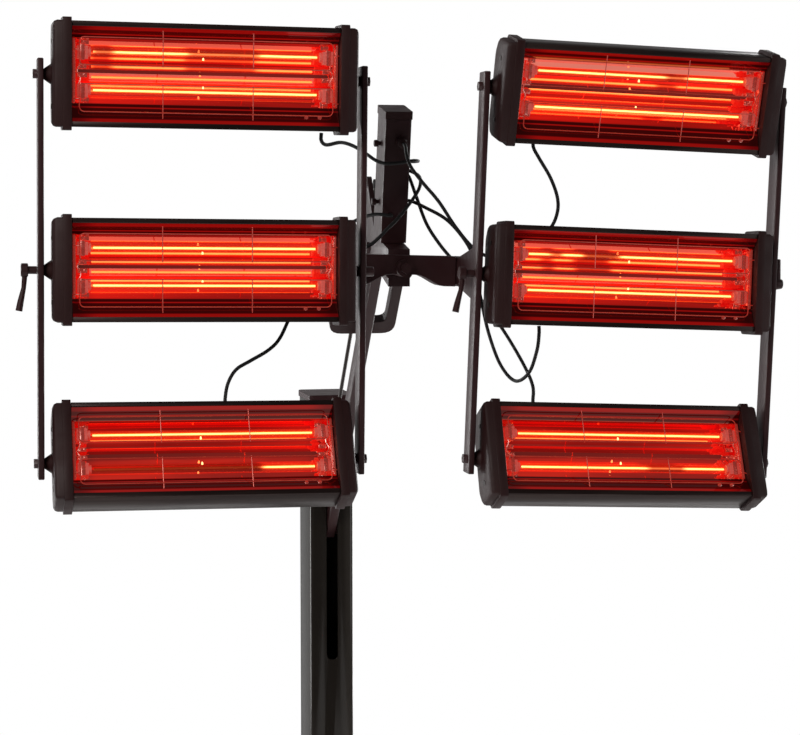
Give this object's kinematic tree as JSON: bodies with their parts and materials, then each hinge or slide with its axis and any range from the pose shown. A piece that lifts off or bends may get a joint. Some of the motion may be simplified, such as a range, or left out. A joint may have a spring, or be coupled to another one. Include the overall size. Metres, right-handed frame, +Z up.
{
  "type": "infrared heater",
  "caption": "Castor-mounted infrared heater: rows of lamp cassettes in two tilting banks on a roll arm, carried by a handled parallelogram lift arm from a slotted column.",
  "frame": {"origin": "on the floor, under the middle of the whole heater's outline", "axes": "+Z up, -Y the way the lamps shine, +X to the right seen from the front"},
  "size_m": [1.0195, 1.0238, 1.8359],
  "materials": {
    "frame_paint": "satin black powder coat with a warm cast",
    "column_paint": "glossy dark grey paint",
    "moulded_black": "fine-grained black moulding",
    "end_cap": "satin black moulding, heat resistant",
    "reflector_housing": "dark anodised outside, polished reflector inside",
    "lit_lamps": "quartz tubes lit orange, on ceramic end blocks",
    "zinc_steel": "zinc-plated pressed steel",
    "rod_steel": "satin black rod",
    "castor_rubber": "matt black tread and hub",
    "lead_rubber": "soft-sheen black cable sheath"
  },
  "bodies": {
    "stand": {"base_beam": "frame_paint", "base_leg_left": "frame_paint", "base_leg_right": "frame_paint", "column": "column_paint", "column_cap": "moulded_black", "power_inlet": "moulded_black"},
    "lift_arm": {"lift_arm": "frame_paint", "lift_handle": "moulded_black"},
    "level_rod": {"level_rod": "rod_steel"},
    "head": {"head_bracket": "frame_paint", "junction_box": "frame_paint", "junction_box_cap": "moulded_black", "cable_gland": "moulded_black"},
    "box_knob_upper": {"box_knob_upper": "moulded_black"},
    "box_knob_lower": {"box_knob_lower": "moulded_black"},
    "cross_arm": {"cross_arm": "frame_paint"},
    "left_bank": {"left_bank_inner_bar": "frame_paint", "left_bank_outer_bar": "frame_paint", "lead_top_left": "lead_rubber", "lead_middle_left": "lead_rubber", "lead_bottom_left": "lead_rubber"},
    "left_clamp_lever": {"left_clamp_lever": "moulded_black"},
    "cassette_top_left": {"cassette_top_left_housing": "reflector_housing", "cassette_top_left_lamps": "lit_lamps", "cassette_top_left_cap_left": "end_cap", "cassette_top_left_cap_right": "end_cap"},
    "cassette_middle_left": {"cassette_middle_left_housing": "reflector_housing", "cassette_middle_left_lamps": "lit_lamps", "cassette_middle_left_cap_left": "end_cap", "cassette_middle_left_cap_right": "end_cap"},
    "cassette_bottom_left": {"cassette_bottom_left_housing": "reflector_housing", "cassette_bottom_left_lamps": "lit_lamps", "cassette_bottom_left_cap_left": "end_cap", "cassette_bottom_left_cap_right": "end_cap"},
    "right_bank": {"right_bank_inner_bar": "frame_paint", "right_bank_outer_bar": "frame_paint", "lead_top_right": "lead_rubber", "lead_middle_right": "lead_rubber", "lead_bottom_right": "lead_rubber"},
    "right_clamp_lever": {"right_clamp_lever": "moulded_black"},
    "cassette_top_right": {"cassette_top_right_housing": "reflector_housing", "cassette_top_right_lamps": "lit_lamps", "cassette_top_right_cap_left": "end_cap", "cassette_top_right_cap_right": "end_cap"},
    "cassette_middle_right": {"cassette_middle_right_housing": "reflector_housing", "cassette_middle_right_lamps": "lit_lamps", "cassette_middle_right_cap_left": "end_cap", "cassette_middle_right_cap_right": "end_cap"},
    "cassette_bottom_right": {"cassette_bottom_right_housing": "reflector_housing", "cassette_bottom_right_lamps": "lit_lamps", "cassette_bottom_right_cap_left": "end_cap", "cassette_bottom_right_cap_right": "end_cap"},
    "castor_fork_front_left": {"castor_fork_front_left": "zinc_steel"},
    "castor_wheel_front_left": {"castor_wheel_front_left": "castor_rubber"},
    "castor_fork_front_right": {"castor_fork_front_right": "zinc_steel"},
    "castor_wheel_front_right": {"castor_wheel_front_right": "castor_rubber"},
    "castor_fork_rear_left": {"castor_fork_rear_left": "zinc_steel"},
    "castor_wheel_rear_left": {"castor_wheel_rear_left": "castor_rubber"},
    "castor_fork_rear_right": {"castor_fork_rear_right": "zinc_steel"},
    "castor_wheel_rear_right": {"castor_wheel_rear_right": "castor_rubber"}
  },
  "joints": [
    {"name": "castor_swivel_front_left", "type": "hinge", "parent": "stand", "child": "castor_fork_front_left", "pos_m": [-0.2935, -0.425, 0.0997], "axis": [0, 0, 1], "continuous": true},
    {"name": "castor_spin_front_left", "type": "hinge", "parent": "castor_fork_front_left", "child": "castor_wheel_front_left", "pos_m": [-0.2935, -0.399, 0.0375], "axis": [1, 0, 0], "continuous": true},
    {"name": "castor_swivel_front_right", "type": "hinge", "parent": "stand", "child": "castor_fork_front_right", "pos_m": [0.3065, -0.425, 0.0997], "axis": [0, 0, 1], "continuous": true},
    {"name": "castor_spin_front_right", "type": "hinge", "parent": "castor_fork_front_right", "child": "castor_wheel_front_right", "pos_m": [0.3065, -0.399, 0.0375], "axis": [1, 0, 0], "continuous": true},
    {"name": "castor_swivel_rear_left", "type": "hinge", "parent": "stand", "child": "castor_fork_rear_left", "pos_m": [-0.2935, 0.4484, 0.0997], "axis": [0, 0, 1], "continuous": true},
    {"name": "castor_spin_rear_left", "type": "hinge", "parent": "castor_fork_rear_left", "child": "castor_wheel_rear_left", "pos_m": [-0.2935, 0.4744, 0.0375], "axis": [1, 0, 0], "continuous": true},
    {"name": "castor_swivel_rear_right", "type": "hinge", "parent": "stand", "child": "castor_fork_rear_right", "pos_m": [0.3065, 0.4484, 0.0997], "axis": [0, 0, 1], "continuous": true},
    {"name": "castor_spin_rear_right", "type": "hinge", "parent": "castor_fork_rear_right", "child": "castor_wheel_rear_right", "pos_m": [0.3065, 0.4744, 0.0375], "axis": [1, 0, 0], "continuous": true},
    {"name": "arm_lift", "type": "hinge", "parent": "stand", "child": "lift_arm", "pos_m": [0.0065, 0.22, 1.082], "axis": [-1, 0, 0], "range_deg": [-47, 15]},
    {"name": "rod_lift", "type": "hinge", "parent": "stand", "child": "level_rod", "pos_m": [0.0065, 0.24, 1.172], "axis": [-1, 0, 0], "range_deg": [-47, 15]},
    {"name": "head_level", "type": "hinge", "parent": "lift_arm", "child": "head", "pos_m": [0.0065, -0.18282, 1.54539], "axis": [-1, 0, 0], "range_deg": [-15, 47]},
    {"name": "box_knob_turn_upper", "type": "hinge", "parent": "head", "child": "box_knob_upper", "pos_m": [-0.0118, -0.28026, 1.68942], "axis": [1, 0, 0], "continuous": true},
    {"name": "box_knob_turn_lower", "type": "hinge", "parent": "head", "child": "box_knob_lower", "pos_m": [-0.0118, -0.26342, 1.61019], "axis": [1, 0, 0], "continuous": true},
    {"name": "cross_arm_roll", "type": "hinge", "parent": "head", "child": "cross_arm", "pos_m": [0.0065, -0.331, 1.521], "axis": [0, 1, 0], "range_deg": [-90, 90], "deforming": ["lead_top_left", "lead_middle_left", "lead_bottom_left", "lead_top_right", "lead_middle_right", "lead_bottom_right"]},
    {"name": "left_bank_tilt", "type": "hinge", "parent": "cross_arm", "child": "left_bank", "pos_m": [-0.06665, -0.331, 1.51991], "axis": [0.9999, 0, -0.0105], "range_deg": [-35, 35], "deforming": ["lead_top_left", "lead_middle_left", "lead_bottom_left"]},
    {"name": "left_lever_turn", "type": "hinge", "parent": "left_bank", "child": "left_clamp_lever", "pos_m": [-0.48253, -0.44, 1.52427], "axis": [0.9999, 0, -0.0105], "range_deg": [-60, 60]},
    {"name": "left_top_tilt", "type": "hinge", "parent": "left_bank", "child": "cassette_top_left", "pos_m": [-0.2719, -0.44, 1.76508], "axis": [-0.9999, 0, 0.0105], "range_deg": [-43, 62], "deforming": ["lead_top_left"]},
    {"name": "left_middle_tilt", "type": "hinge", "parent": "left_bank", "child": "cassette_middle_left", "pos_m": [-0.27444, -0.44, 1.52209], "axis": [-0.9999, 0, 0.0105], "range_deg": [-47, 58], "deforming": ["lead_middle_left"]},
    {"name": "left_bottom_tilt", "type": "hinge", "parent": "left_bank", "child": "cassette_bottom_left", "pos_m": [-0.27699, -0.44, 1.2791], "axis": [-0.9999, 0, 0.0105], "range_deg": [-75, 30], "deforming": ["lead_bottom_left"]},
    {"name": "right_bank_tilt", "type": "hinge", "parent": "cross_arm", "child": "right_bank", "pos_m": [0.0795, -0.331, 1.51609], "axis": [0.9992, 0, -0.0401], "range_deg": [-35, 35], "deforming": ["lead_top_right", "lead_middle_right", "lead_bottom_right"]},
    {"name": "right_lever_turn", "type": "hinge", "parent": "right_bank", "child": "right_clamp_lever", "pos_m": [0.0792, -0.44, 1.5161], "axis": [0.9992, 0, -0.0401], "range_deg": [-60, 60]},
    {"name": "right_top_tilt", "type": "hinge", "parent": "right_bank", "child": "cassette_top_right", "pos_m": [0.29688, -0.44, 1.75055], "axis": [-0.9992, 0, 0.0401], "range_deg": [-32, 73], "deforming": ["lead_top_right"]},
    {"name": "right_middle_tilt", "type": "hinge", "parent": "right_bank", "child": "cassette_middle_right", "pos_m": [0.28713, -0.44, 1.50775], "axis": [-0.9992, 0, 0.0401], "range_deg": [-47, 58], "deforming": ["lead_middle_right"]},
    {"name": "right_bottom_tilt", "type": "hinge", "parent": "right_bank", "child": "cassette_bottom_right", "pos_m": [0.27738, -0.44, 1.26494], "axis": [-0.9992, 0, 0.0401], "range_deg": [-73.5, 31.5], "deforming": ["lead_bottom_right"]}
  ],
  "couplings": [
    {"joint": "rod_lift", "follows": "arm_lift", "ratio": 1},
    {"joint": "head_level", "follows": "arm_lift", "ratio": -1}
  ]
}
